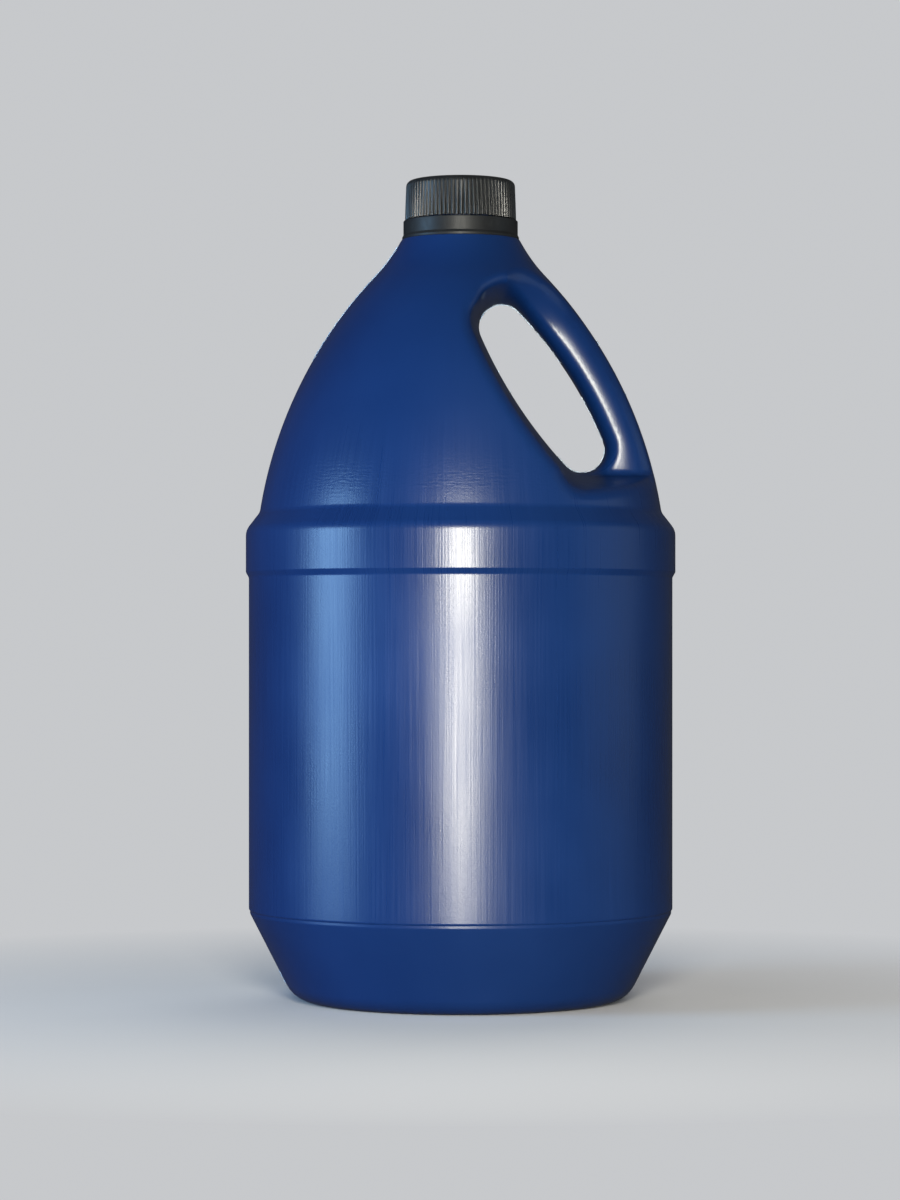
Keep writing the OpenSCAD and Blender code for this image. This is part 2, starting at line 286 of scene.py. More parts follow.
def wall_slant(nz):
    """Tangent of a wall's draft."""
    end_draft = np.where(nz > 0, TOP_DRAFT, FLOOR_DRAFT)
    return np.tan(np.radians(SIDE_DRAFT + (end_draft - SIDE_DRAFT) * end_share(nz)))


def crest_depth(px, pz, nx, nz, roll):
    """Depth at which a wall from (px, pz) with normal (nx, nz) has rolled over towards the shell."""
    reach = roll + wall_slant(nz) * depth_at(px + nx * roll, pz + nz * roll)
    return CREST_OVER + depth_at(px + nx * reach, pz + nz * reach)


def recess_field(x, y, z):
    """The recess round the finger hole. Its walls lean out by their draft and roll over to the shell."""
    depth = np.abs(y)
    top = (x - TOP_END[0], z - TOP_END[1])
    low = (x - LOW_END[0], z - LOW_END[1])
    back = (x - BACK_CENTRE[0], z - BACK_CENTRE[1])
    back_span = np.hypot(*back)
    past_top = top[0] * GRIP_UP[0] + top[1] * GRIP_UP[1]
    past_floor = -low[1]
    past_back = back_span - BACK_END_R
    past = np.maximum(np.maximum(past_top, past_floor), past_back)
    nx, nz = (
        np.where(past == past_top, GRIP_UP[d], np.where(past == past_floor, DOWN[d], back[d] / back_span))
        for d in (0, 1))
    for end, first, second in ((top, GRIP_UP, TOP_BACK), (low, LOW_BACK, DOWN)):
        span = np.hypot(*end)
        in_round = (wedge(first, end) >= 0) & (wedge(second, end) <= 0) & (span > 0)
        past = np.where(in_round, span, past)
        nx, nz = (np.where(in_round, end[d] / np.maximum(span, TINY), n) for d, n in ((0, nx), (1, nz)))
    offset = past - GRIP_END_ROUND
    roll = RIM_ROLL + np.where(nz > 0, HANDLE_RIDGE - RIM_ROLL, 0) * end_share(nz)
    crest = crest_depth(x - offset * nx, z - offset * nz, nx, nz, roll)
    rolled = 1 - np.sqrt(np.maximum(1 - (depth / crest) ** 2, 0))
    return offset - wall_slant(nz) * depth - roll * rolled


def wrapped(angle):
    """Angle brought into the half turn each way."""
    return np.arctan2(np.sin(angle), np.cos(angle))


def handle_field(x, y, z):
    """The handle: an egg-shaped section that turns round the lower end of the hole, follows the inner arc and
    turns round the upper end, where its depth grows to the shell's."""
    depth = np.abs(y)
    arc_angle = np.arctan2(z - INNER_CENTRE[1], x - INNER_CENTRE[0])
    high = wrapped(arc_angle - GRIP_HIGH) > 0
    low = wrapped(GRIP_LOW - arc_angle) > 0
    cx, cz = (
        np.where(high, TOP_END[d], np.where(low, LOW_END[d], INNER_CENTRE[d])) for d in (0, 1))
    radius = np.hypot(x - cx, z - cz)
    angle = np.arctan2(z - cz, x - cx)
    nx, nz = np.cos(angle), np.sin(angle)
    turn_high = np.where(high, wrapped(angle - GRIP_HIGH), 0)
    turn_low = np.where(low, wrapped(GRIP_LOW - angle), 0)
    turned = np.maximum(turn_high / HIGH_TURN, turn_low / LOW_TURN)
    faded = FAN_FADE * np.maximum(turned - 1, 0)
    cleared = FAN_CLEAR * np.clip(2 * turned - 1, 0, 1) ** 2
    inner = np.where(high | low, GRIP_END_ROUND, INNER_ARC_R) + cleared + faded
    ridge = np.where(high | low, FAN_RIDGE_R, ARC_RIDGE_R) + faded
    run = np.where(high, turn_high * FAN_RIDGE_R, wrapped(angle - GRIP_HIGH) * ARC_RIDGE_R)
    grown = np.clip(1 + (run - ROOT_TURN * FAN_RIDGE_R) / ROOT_FLARE, 0, 1) ** GROWTH_POWER
    grown = np.where(low, 0, grown)
    from_shoulder = (cx - SHOULDER_CENTRE[0], cz - SHOULDER_CENTRE[1])
    along = from_shoulder[0] * nx + from_shoulder[1] * nz
    away = from_shoulder[0] ** 2 + from_shoulder[1] ** 2
    back = np.sqrt(along**2 - away + SHOULDER_ROUND**2) - along + BACK_PROUD + ROOT_PROUD * grown
    own_depth = HANDLE_DEPTH / 2
    root_depth = crest_depth(cx + inner * nx, cz + inner * nz, nx, nz, HANDLE_RIDGE)
    half_depth = own_depth + (root_depth - own_depth) * grown
    above = radius - wall_slant(nz) * grown * depth - ridge
    spread = np.maximum(np.where(above > 0, back - ridge, ridge - inner), LEAST_SPREAD)
    p = np.abs(above) / spread
    q = depth / half_depth
    size = (p**RIDGE_POWER + q**RIDGE_POWER) ** (1 / RIDGE_POWER)
    steep = np.hypot(p ** (RIDGE_POWER - 1) / spread, q ** (RIDGE_POWER - 1) / half_depth)
    return (size - 1) * size ** (RIDGE_POWER - 1) / np.maximum(steep, TINY)


def shoulder_field(x, y, z):
    """The shoulder with its recess and handle, edges rolled and roots filleted."""
    depth = np.abs(y)
    handle = handle_field(x, y, z)
    at_top = smooth_step(-SPREAD_REACH, SPREAD_REACH, z - GRIP_CENTRE[1])
    spread = FOOT_SPREAD + (TOP_SPREAD - FOOT_SPREAD) * at_top
    kept = smooth_min(-recess_field(x, y, z), handle, EDGE_BLEND + spread * depth)
    soft = np.maximum(smooth_step(*SOFT_DISTANCE, handle), smooth_step(*SOFT_DEPTH, depth / HANDLE_DEPTH))
    return smooth_max(turned_field(x, y, z), kept, BACK_BLEND + (RIM_BLEND - BACK_BLEND) * soft)


def hollow_field(x, y, z):
    """The jug's inside behind its wall, as a field of the plastic round it."""
    return -(shoulder_field(x, y, z) + WALL)


def field_gradient(field, p, step=0.02):
    """Slope of a field at the points p."""
    slope = np.zeros_like(p)
    for axis in range(3):
        shift = np.zeros(3)
        shift[axis] = step
        slope[:, axis] = (field(*(p + shift).T) - field(*(p - shift).T)) / (2 * step)
    return slope


def turned_radius(z, inset):
    """Radius of the turned shoulder at a level, behind a wall of that inset."""
    turn_z = SHOULDER_CENTRE[1] + (SHOULDER_ROUND - inset) * heading(TURNOVER)[1]
    if z < turn_z:
        return SHOULDER_CENTRE[0] + math.sqrt((SHOULDER_ROUND - inset) ** 2 - (z - SHOULDER_CENTRE[1]) ** 2)
    return NECK_CENTRE[0] - math.sqrt((NECK_ROUND + inset) ** 2 - (z - NECK_CENTRE[1]) ** 2)


# Meshes

# Points of a profile nearer than this are one
SAME_POINT = 1e-6


def unit(vectors):
    """Vectors brought to length 1."""
    return vectors / np.linalg.norm(vectors, axis=-1, keepdims=True)


def around_axis(a, r, z):
    """Places at an angle round the axis, a radius and a level."""
    return np.stack(np.broadcast_arrays(r * np.cos(a), r * np.sin(a), z), -1)


def new_object(name, data):
    """An object in the scene."""
    made = bpy.data.objects.new(name, data)
    bpy.context.scene.collection.objects.link(made)
    return made


class Skin:
    """Vertices, normals and faces of one mesh, gathered ring by ring."""

    def __init__(self):
        self.points = []
        self.normals = []
        self.faces = []
        self.count = 0

    def add(self, points, normals):
        """Adds vertices and returns their numbers."""
        self.points.append(np.asarray(points, float))
        self.normals.append(np.asarray(normals, float))
        first = self.count
        self.count += len(points)
        return np.arange(first, self.count)

    def band(self, a, b):
        """Closes the strip between two rings. One may have a whole multiple of the other's points, or be one
        point."""
        many, few = (a, b) if len(a) >= len(b) else (b, a)
        after_many = np.roll(many, -1)
        after_few = np.roll(few, -1)
        if len(many) == len(few):
            self.faces.extend(np.stack([many, after_many, after_few, few], 1).tolist())
            return
        ratio = len(many) // len(few)
        for i in range(len(few)):
            for k in range(i * ratio, (i + 1) * ratio):
                self.faces.append([many[k], after_many[k], few[i]])
            if len(few) > 1:
                self.faces.append([after_many[(i + 1) * ratio - 1], after_few[i], few[i]])

    def piece(self, name, material, body):
        """Makes the Blender object on its CAD body and with its faces turned outwards."""
        points = np.concatenate(self.points) * MM
        normals = np.concatenate(self.normals)
        faces = []
        for size in sorted({len(face) for face in self.faces}):
            group = np.array([face for face in self.faces if len(face) == size])
            # Chords a-c and b-d lie across the face
            a, b, c, d = (points[group[:, k]] for k in (0, size // 3, size // 2, size - 1))
            facing = np.cross(c - a, d - b)
            inward = (facing * normals[group].sum(1)).sum(1) < 0
            group[inward] = group[inward][:, ::-1]
            faces.extend(group.tolist())
        mesh = bpy.data.meshes.new(name)
        mesh.from_pydata(points.tolist(), [], faces)
        mesh.shade_smooth()
        mesh.normals_split_custom_set_from_vertices(normals.tolist())
        mesh.materials.append(material)
        made = new_object(name, mesh)
        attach(made, body)
        return made


def directions(corners):
    """Unit vectors from each corner of a path to the next."""
    return [unit(b - a) for a, b in zip(corners, corners[1:])]


def rounded_path(path, turn_step=9.0, run_step=12.0):
    """Points and right-hand normals along a path of corners with their radii. Long runs are divided."""
    corners = [np.asarray(corner, float) for corner, _ in path]
    radii = [radius for _, radius in path]
    points = []
    normals = []

    def put(point, normal):
        if points:
            gap = np.linalg.norm(point - points[-1])
            if gap < SAME_POINT:
                return
            steps = int(gap // run_step) + 1
            before = points[-1]
            before_normal = normals[-1]
            for i in range(1, steps):
                points.append(before + (point - before) * i / steps)
                normals.append(before_normal)
        points.append(point)
        normals.append(normal)

    runs = directions(corners)
    put(corners[0], -left_of(runs[0]))
    for i in range(1, len(corners) - 1):
        into, out = runs[i - 1], runs[i]
        turn = math.atan2(wedge(into, out), into @ out)
        side = math.copysign(1, turn)
        r = radii[i]
        centre = corners[i] - into * r * math.tan(abs(turn) / 2) + side * r * left_of(into)
        steps = max(2, math.ceil(abs(math.degrees(turn)) / turn_step))
        start = -side * left_of(into)
        for k in range(steps + 1):
            a = turn * k / steps
            spoke = start * math.cos(a) + left_of(start) * math.sin(a)
            put(centre + r * spoke, side * spoke)
    put(corners[-1], -left_of(runs[-1]))
    return np.array(points), np.array(normals)


def column_angles(columns):
    """Angles of the middles of the columns round the axis."""
    return 2 * math.pi * (np.arange(columns) + 0.5) / columns


def ring(skin, columns, point, normal):
    """A ring of vertices round the axis at one point of a profile."""
    a = column_angles(columns)
    return skin.add(around_axis(a, *point), around_axis(a, *normal))


def turn_profile(skin, columns, profile, before=None, closed=False):
    """Rings along a profile, joined to each other and to the ring before. Returns the last ring."""
    first = None
    for point, normal in zip(*profile):
        if point[0] < SAME_POINT:
            current = skin.add([[0, 0, point[1]]], [[0, 0, normal[1]]])
        else:
            current = ring(skin, columns, point, normal)
        if before is not None:
            skin.band(before, current)
        if first is None:
            first = current
        before = current
    if closed:
        skin.band(before, first)
    return before


def downwards(profile):
    """A profile run the other way, with its normals turned round."""
    points, normals = profile
    return points[::-1], -normals[::-1]


def tube(skin, rings):
    """Joins rings into a tube and closes both ends."""
    for a, b in zip(rings, rings[1:]):
        skin.band(a, b)
    skin.faces.append(rings[0][::-1].tolist())
    skin.faces.append(rings[-1].tolist())


# Nets: meshes of the shoulder's fields, on a grid round the axis that stops at its core. Vertices settle on
# the surface in a few steps of limited reach.

SHOULDER_FOOT_Z = FOOT_POINT[1]
SHOULDER_TOP_Z = 270
NET_CORE_R = 5
SETTLE_STEPS = 4
SETTLE_REACH = 0.6
FLATTEST_SLOPE = 0.5
CELL_CORNERS = [(i, j, k) for i in (0, 1) for j in (0, 1) for k in (0, 1)]


def crossed_cells(value):
    """Cells of a grid that the zero level passes through, and the middle of its crossings on their edges."""
    sizes = [count - 1 for count in value.shape]
    solid = value < 0
    filled = np.zeros(sizes, int)
    for corner in CELL_CORNERS:
        filled += solid[tuple(slice(first, first + size) for first, size in zip(corner, sizes))]
    cells = np.argwhere((filled > 0) & (filled < len(CELL_CORNERS)))
    at = {corner: value[tuple((cells + corner).T)] for corner in CELL_CORNERS}
    total = np.zeros((len(cells), 3))
    hits = np.zeros((len(cells), 1))
    for start in CELL_CORNERS:
        for axis in range(3):
            if start[axis] == 1:
                continue
            end = tuple(1 if other == axis else start[other] for other in range(3))
            crosses = (at[start] < 0) != (at[end] < 0)
            spot = np.tile(np.array(start, float), (len(cells), 1))
            spot[:, axis] = at[start] / np.where(crosses, at[start] - at[end], 1)
            total += spot * crosses[:, None]
            hits += crosses[:, None]
    return cells, cells + total / hits


def crossed_edges(solid, number):
    """Quads of the numbered cells round each edge of a grid that goes from solid to hollow. The grid closes
    round its first axis."""
    quads = []
    for axis in range(3):
        across, up = (other for other in range(3) if other != axis)
        low = [slice(0, number.shape[0]), slice(None), slice(None)]
        high = list(low)
        low[axis] = slice(0, -1)
        high[axis] = slice(1, None)
        edges = np.argwhere(solid[tuple(low)] != solid[tuple(high)])
        for side in (1, 2):
            if side != axis:
                edges = edges[(edges[:, side] > 0) & (edges[:, side] < number.shape[side])]
        quad = []
        for back_across, back_up in ((1, 1), (0, 1), (0, 0), (1, 0)):
            cell = edges.copy()
            cell[:, across] -= back_across
            cell[:, up] -= back_up
            cell[:, 0] %= number.shape[0]
            quad.append(number[tuple(cell.T)])
        quads.append(np.stack(quad, 1))
    return np.concatenate(quads)


def settle(field, points):
    """Points moved onto a field's zero level, and their normals."""
    for _ in range(SETTLE_STEPS):
        slope = field_gradient(field, points)
        move = field(*points.T) / np.maximum((slope**2).sum(1), FLATTEST_SLOPE**2)
        points = points - np.clip(move, -SETTLE_REACH, SETTLE_REACH)[:, None] * slope
    return points, unit(field_gradient(field, points))


def net(skin, field, inset, columns, layers, cell):
    """Meshes a field of the shoulder behind a wall of that inset, with cells about so many millimetres deep.
    Each cell that the surface passes through has one vertex. Returns the lowest and the highest ring."""
    dz = (SHOULDER_TOP_Z - SHOULDER_FOOT_Z) / layers
    low_r = turned_radius(SHOULDER_FOOT_Z + dz / 2, inset)
    high_r = turned_radius(SHOULDER_TOP_Z - dz / 2, inset)
    dr = (low_r - high_r) / round((low_r - high_r) / cell)
    inmost = high_r - dr / 2 - dr * math.floor((high_r - dr / 2 - NET_CORE_R) / dr)
    rows = round((low_r + 1.5 * dr - inmost) / dr)
    theta = 2 * math.pi * np.arange(columns) / columns
    radius = inmost + dr * np.arange(rows + 1)
    level = SHOULDER_FOOT_Z + dz * np.arange(layers + 1)
    places = around_axis(*np.meshgrid(theta, radius, level, indexing="ij"))
    value = field(*np.moveaxis(places, -1, 0))
    value = np.concatenate([value, value[:1]], 0)
    cells, spots = crossed_cells(value)
    across, out, up = spots.T
    points = around_axis(2 * math.pi * across / columns, inmost + dr * out, SHOULDER_FOOT_Z + dz * up)
    number = np.full((columns, rows, layers), -1)
    number[tuple(cells.T)] = skin.add(*settle(field, points))
    skin.faces.extend(crossed_edges(value < 0, number).tolist())
    return number[:, :, 0].max(1), number[:, :, -1].max(1)


# Materials. Colours are linear, noise has so many cells to a metre, and bumps are in millimetres.

DEEP_BLUE = (0.0028, 0.0196, 0.096)
CLOUDED_BLUE = (0.0043, 0.0263, 0.122)
STREAK_BLUE = (0.016, 0.074, 0.31)
JUG_DUST = (0.42, 0.55, 0.68)
STRETCHED_BLUE = (0.33, 0.5, 0.72)
TORN_WHITE = (0.72, 0.83, 0.93)
DEEP_BLACK = (0.009, 0.0097, 0.011)
CLOUDED_BLACK = (0.016, 0.0175, 0.0195)
SCUFF_GREY = (0.044, 0.05, 0.056)
CLOSURE_DUST = (0.45, 0.52, 0.56)
FOAM_SHADE = (0.66, 0.65, 0.62)
FOAM_WHITE = (0.8, 0.79, 0.76)
PAPER_SHADE = (0.8, 0.79, 0.79)
PAPER_WHITE = (0.85, 0.84, 0.84)

# Most of a noise's values lie in this range
NOISE_RANGE = (0.3, 0.7)
# The jug's roughness, how far a die line changes it and pales the colour, and the noise that does
JUG_ROUGHNESS = (0.27, 0.34)
LINE_WEAR = 0.04
LINE_PALING = 0.07
LINE_RANGE = (0.45, 0.8)
# Levels over which die lines and ripples come and go, and the share of the lines left above
LINES_RISE = (30, 36)
LINES_FALL = (180, 240)
LINES_LEFT = 0.15
RIPPLE_RISE = (181, 186)
RIPPLE_FALL = (190, 202)
# The flash's roughness, and the noise that it follows
FLASH_ROUGHNESS = (0.35, 0.6)
FLASH_RANGE = (0.2, 0.8)
# How far a scuff pales the closure, and the noise for that and for its roughness
SCUFF_PALING = 0.3
SCUFF_RANGE = (0.6, 0.85)
WEAR_RANGE = (0.25, 0.75)


def new_material(name):
    """A material, its node tree and its shader."""
    material = bpy.data.materials.new(name)
    material.use_nodes = True
    tree = material.node_tree
    return material, tree, tree.nodes["Principled BSDF"]


def fill(tree, socket, value):
    """Links a socket to another, or sets it to a value."""
    if isinstance(value, bpy.types.NodeSocket):
        tree.links.new(value, socket)
    else:
        socket.default_value = value


def outputs(tree, kind, **inputs):
    """Outputs of a new node, whose inputs are named with _ for a space."""
    node = tree.nodes.new("ShaderNode" + kind)
    for name, value in inputs.items():
        fill(tree, node.inputs[name.replace("_", " ")], value)
    return node.outputs


def maths(tree, operation, *values):
    """Output of a Math node."""
    node = tree.nodes.new("ShaderNodeMath")
    node.operation = operation
    for socket, value in zip(node.inputs, values):
        fill(tree, socket, value)
    return node.outputs[0]


def ramp(tree, value, low, high, to_low=0.0, to_high=1.0):
    """Maps a value from one range to another, held at both ends."""
    made = outputs(tree, "MapRange", Value=value, From_Min=low, From_Max=high, To_Min=to_low, To_Max=to_high)
    return made["Result"]


def noise(tree, vector, scale, detail, roughness=0.5):
    """Cloudy noise."""
    return outputs(tree, "TexNoise", Vector=vector, Scale=scale, Detail=detail, Roughness=roughness)["Fac"]


def mix_colour(tree, share, a, b):
    """Colour between a and b, which are colours or sockets."""
    node = tree.nodes.new("ShaderNodeMix")
    node.data_type = "RGBA"
    tree.links.new(share, node.inputs["Factor"])
    for name, colour in (("A", a), ("B", b)):
        fill(tree, node.inputs[name], (*colour, 1) if isinstance(colour, tuple) else colour)
    return node.outputs["Result"]


def bump(tree, height, distance, onto=None):
    """Normal of a surface that a height raises by up to that distance."""
    below = {} if onto is None else {"Normal": onto}
    return outputs(tree, "Bump", Distance=distance * MM, Height=height, **below)["Normal"]


def object_place(tree):
    """Object coordinates."""
    return outputs(tree, "TexCoord")["Object"]


def height_and_angle(tree, place):
    """Level of a place, and its angle round the axis."""
    x, y, z = outputs(tree, "SeparateXYZ", Vector=place)
    return z, maths(tree, "ARCTAN2", y, x)


def axis_noise(tree, z, angle, up, around, detail, roughness=0.5):
    """Noise with so many cells to a metre up the axis and to a radian round it."""
    across = maths(tree, "MULTIPLY", angle, around)
    along = maths(tree, "MULTIPLY", z, up)
    vector = outputs(tree, "CombineXYZ", X=across, Y=along)["Vector"]
    return noise(tree, vector, 1, detail, roughness)


def between(tree, z, rise, fall, left=0.0):
    """Share that rises from 0 over one range of levels and falls to what is left over another."""
    up = ramp(tree, z, rise[0] * MM, rise[1] * MM)
    down = ramp(tree, z, fall[1] * MM, fall[0] * MM, left, 1)
    return maths(tree, "MULTIPLY", up, down)


def specks(tree, place, scale, radius, kept):
    """Mask of sparse dust specks: one spot in a share of the cells of a grid."""
    cell = outputs(tree, "TexVoronoi", Vector=place, Scale=scale)
    spot = maths(tree, "LESS_THAN", cell["Distance"], radius)
    pick = outputs(tree, "SeparateColor", Color=cell["Color"])["Red"]
    return maths(tree, "MULTIPLY", spot, maths(tree, "LESS_THAN", pick, kept))


def feed(tree, shader, colour, roughness, normal):
    """Links what a shader shows."""
    tree.links.new(colour, shader.inputs["Base Color"])
    tree.links.new(roughness, shader.inputs["Roughness"])
    tree.links.new(normal, shader.inputs["Normal"])


def blown_plastic():
    """Satin blue polyethylene with upright die lines, ripples at the shoulder's foot and a little dust."""
    material, tree, shader = new_material("blue_polyethylene")
    place = object_place(tree)
    z, angle = height_and_angle(tree, place)
    lines = axis_noise(tree, z, angle, up=14, around=110, detail=3, roughness=0.6)
    ripple = axis_noise(tree, z, angle, up=1300, around=24, detail=1)
    grain = noise(tree, place, scale=1500, detail=2)
    cloud = noise(tree, place, scale=16, detail=3)
    straight = between(tree, z, LINES_RISE, LINES_FALL, LINES_LEFT)
    foot = between(tree, z, RIPPLE_RISE, RIPPLE_FALL)
    tint = mix_colour(tree, ramp(tree, cloud, *NOISE_RANGE), DEEP_BLUE, CLOUDED_BLUE)
    streaks = maths(tree, "MULTIPLY", ramp(tree, lines, *LINE_RANGE, 0, LINE_PALING), straight)
    tint = mix_colour(tree, streaks, tint, STREAK_BLUE)
    dust = specks(tree, place, scale=70, radius=0.03, kept=0.05)
    tint = mix_colour(tree, dust, tint, JUG_DUST)
    wear = maths(tree, "MULTIPLY", ramp(tree, lines, *NOISE_RANGE, -LINE_WEAR, LINE_WEAR), straight)
    worn = maths(tree, "ADD", ramp(tree, cloud, *NOISE_RANGE, *JUG_ROUGHNESS), wear)
    normal = bump(tree, maths(tree, "MULTIPLY", lines, straight), distance=0.045)
    normal = bump(tree, maths(tree, "MULTIPLY", ripple, foot), distance=0.05, onto=normal)
    feed(tree, shader, tint, worn, bump(tree, grain, distance=0.02, onto=normal))
    return material


def flash_plastic():
    """Thin moulding flash, paler where the plastic was stretched."""
    material, tree, shader = new_material("stretched_polyethylene")
    torn = noise(tree, object_place(tree), scale=420, detail=3)
    tint = mix_colour(tree, ramp(tree, torn, *NOISE_RANGE), STRETCHED_BLUE, TORN_WHITE)
    worn = ramp(tree, torn, *FLASH_RANGE, *FLASH_ROUGHNESS)
    feed(tree, shader, tint, worn, bump(tree, torn, distance=0.1))
    return material


def closure_plastic(name, gloss, smooth, worn):
    """Satin black polypropylene with fine scuffs and dust, of a roughness between smooth and worn."""
    material, tree, shader = new_material(name)
    place = object_place(tree)
    z, angle = height_and_angle(tree, place)
    scuff = axis_noise(tree, z, angle, up=260, around=12, detail=3, roughness=0.6)
    grain = noise(tree, place, scale=1800, detail=2)
    cloud = noise(tree, place, scale=90, detail=2)
    tint = mix_colour(tree, ramp(tree, cloud, *NOISE_RANGE), DEEP_BLACK, CLOUDED_BLACK)
    tint = mix_colour(tree, ramp(tree, scuff, *SCUFF_RANGE, 0, SCUFF_PALING), tint, SCUFF_GREY)
    dust = specks(tree, place, scale=220, radius=0.05, kept=0.05)
    tint = mix_colour(tree, dust, tint, CLOSURE_DUST)
    normal = bump(tree, grain, distance=0.005, onto=bump(tree, scuff, distance=0.015))
    feed(tree, shader, tint, ramp(tree, scuff, *WEAR_RANGE, smooth, worn), normal)
    shader.inputs["Specular IOR Level"].default_value = gloss
    return material


def foam():
    """Matt closed-cell foam."""
    material, tree, shader = new_material("white_foam")
    swell = outputs(tree, "TexVoronoi", Vector=object_place(tree), Scale=2600)["Distance"]
    tint = mix_colour(tree, ramp(tree, swell, 0, 0.8), FOAM_SHADE, FOAM_WHITE)
    tree.links.new(tint, shader.inputs["Base Color"])
    tree.links.new(bump(tree, swell, distance=0.1), shader.inputs["Normal"])
    shader.inputs["Roughness"].default_value = 0.8
    return material


def floor_paper():
    """Pale matt studio paper."""
    material, tree, shader = new_material("pale_paper")
    cloud = noise(tree, object_place(tree), scale=9, detail=3)
    tree.links.new(mix_colour(tree, cloud, PAPER_SHADE, PAPER_WHITE), shader.inputs["Base Color"])
    shader.inputs["Roughness"].default_value = 0.9
    shader.inputs["Specular IOR Level"].default_value = 0.1
    return material


# The jug's shell: an outer skin from the middle of its bottom up to the mouth, and an inner one back down

OUTER_COLUMNS = 280
OUTER_LAYERS = 75
OUTER_CELL = 1.15
INNER_COLUMNS = 140
INNER_LAYERS = 38
INNER_CELL = 2.3
MOUTH_LIP = 1
BORE_STEP = 0.5
MEET_GAP = 0.8
CEILING_Z = LEDGE_Z - LEDGE_H
MEET_Z = CEILING_Z - WALL
SHELL_PATH = [
    ((0, PUSH_UP), 0),
    ((FOOT_R - 2 * PUSH_UP, PUSH_UP), PUSH_UP),
    ((FOOT_R, 0), 2 * WALL),
    ((BASE_R, 0), FOOT_ROUND),
    ((LAND_R, BASE_H), BASE_EDGE_ROUND),
    ((LAND_R, LAND_Z), LAND_ROUND),
    ((PANEL_R, PANEL_Z), PANEL_EDGE_ROUND),
    ((PANEL_R, STEP_Z), BELT_STEP_ROUND),
    ((BELT_R, BELT_Z), BELT_EDGE_ROUND),
    ((BELT_R, BELT_TOP_Z), BELT_TOP_ROUND),
    ((VALLEY_R, VALLEY_Z), VALLEY_ROUND),
    (tuple(FOOT_POINT), 0),
]
NECK_PATH = [
    ((LEDGE_R + LEDGE_LIP / 2, LEDGE_Z - LEDGE_LIP), 0),
    ((LEDGE_R, LEDGE_Z), SOFT_EDGE),
    ((NECK_R, LEDGE_Z), ROUND_EDGE),
    ((NECK_R, LEDGE_Z + BEAD_Z - BEAD_PROUD), FINE_EDGE),
    ((NECK_R + BEAD_PROUD, LEDGE_Z + BEAD_Z - BEAD_PROUD / 2), SOFT_EDGE),
    ((NECK_R + BEAD_PROUD, LEDGE_Z + BEAD_Z), SOFT_EDGE),
    ((NECK_R, LEDGE_Z + BEAD_Z + BEAD_PROUD), SOFT_EDGE),
    ((NECK_R, NECK_TOP_Z), ROUND_EDGE),
    ((MOUTH_R, NECK_TOP_Z), SOFT_EDGE),
    ((MOUTH_R, NECK_TOP_Z - MOUTH_LIP), 0),
]
BORE_PATH = [
    ((MOUTH_R, NECK_TOP_Z - MOUTH_LIP - BORE_STEP), 0),
    ((MOUTH_R, LEDGE_Z), BORE_ROUND),
    ((MOUTH_R + LEDGE_H, CEILING_Z), CEILING_ROUND),
    ((turned_radius(MEET_Z, WALL), MEET_Z), 0),
]


def hollow_arc(inset, high_z, steps):
    """Points and outward normals up the hollow arc under the ledge, from the top of the net."""
    levels = np.linspace(SHOULDER_TOP_Z, high_z, steps + 1)
    points = np.array([[turned_radius(z, inset), z] for z in levels])
    return points, unit(NECK_CENTRE - points)


def inset_path(path, inset):
    """A path moved to its left, with the roundings that its other side has."""
    corners = [np.asarray(corner, float) for corner, _ in path]
    runs = directions(corners)
    moved = [corners[0] + inset * left_of(runs[0])]
    for corner, into, out in zip(corners[1:], runs, runs[1:]):
        a = corner + inset * left_of(into)
        b = corner + inset * left_of(out)
        turn = wedge(into, out)
        moved.append(a + into * wedge(b - a, out) / turn if abs(turn) > TINY else a)
    moved.append(corners[-1] + inset * left_of(runs[-1]))
    radii = [radius - inset if radius > 2 * inset else 2 * inset for _, radius in path]
    return list(zip(moved, radii))


def jug_shell(material):
    """The blown shell, outside and inside."""
    skin = Skin()
    last = turn_profile(skin, OUTER_COLUMNS, rounded_path(SHELL_PATH, turn_step=11))
    low, high = net(skin, shoulder_field, 0, OUTER_COLUMNS, OUTER_LAYERS, OUTER_CELL)
    skin.band(last, low)
    last = turn_profile(skin, OUTER_COLUMNS, hollow_arc(0, LEDGE_Z - LEDGE_LIP, steps=8), high)
    last = turn_profile(skin, INNER_COLUMNS, rounded_path(NECK_PATH), last)
    last = turn_profile(skin, INNER_COLUMNS, rounded_path(BORE_PATH), last)
    arc = hollow_arc(WALL, MEET_Z - MEET_GAP, steps=3)
    last = turn_profile(skin, INNER_COLUMNS, downwards(arc), last)
    low, high = net(skin, hollow_field, WALL, INNER_COLUMNS, INNER_LAYERS, INNER_CELL)
    skin.band(last, high)
    inside = rounded_path(inset_path(SHELL_PATH, WALL), turn_step=30, run_step=40)
    turn_profile(skin, INNER_COLUMNS, downwards(inside), low)
    made = skin.piece("jug_shell", material, "jug")
    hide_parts("jug_body")


# Moulding flash along the parting plane

SEAM_START_Z = 8
SEAM_HEIGHT = 0.12
SEAM_HALF_WIDTH = 0.4
FLASH_HALF_WIDTH = 0.22
# Section of a ridge: shares of its half width and of its height, where -1 is sunk into the wall
RIDGE_SECTION = [(-1, -1), (-0.8, 0.35), (-0.3, 0.9), (0.3, 0.9), (0.8, 0.35), (1, -1)]
RIDGE_SUNK = 0.15
# Points of an outline: longest step below the shoulder, number on it, and room at its ends
OUTLINE_STEP = 0.7
OUTLINE_POINTS = 160
OUTLINE_ROOM = 0.5
# The bottom's outline lies nearer to the axis
BOTTOM_R = BASE_R - 8
# The hole's edge is searched from its middle: nearest, farthest and step
HOLE_SEARCH = (5, 60, 0.1)
HOLE_POINTS = 480
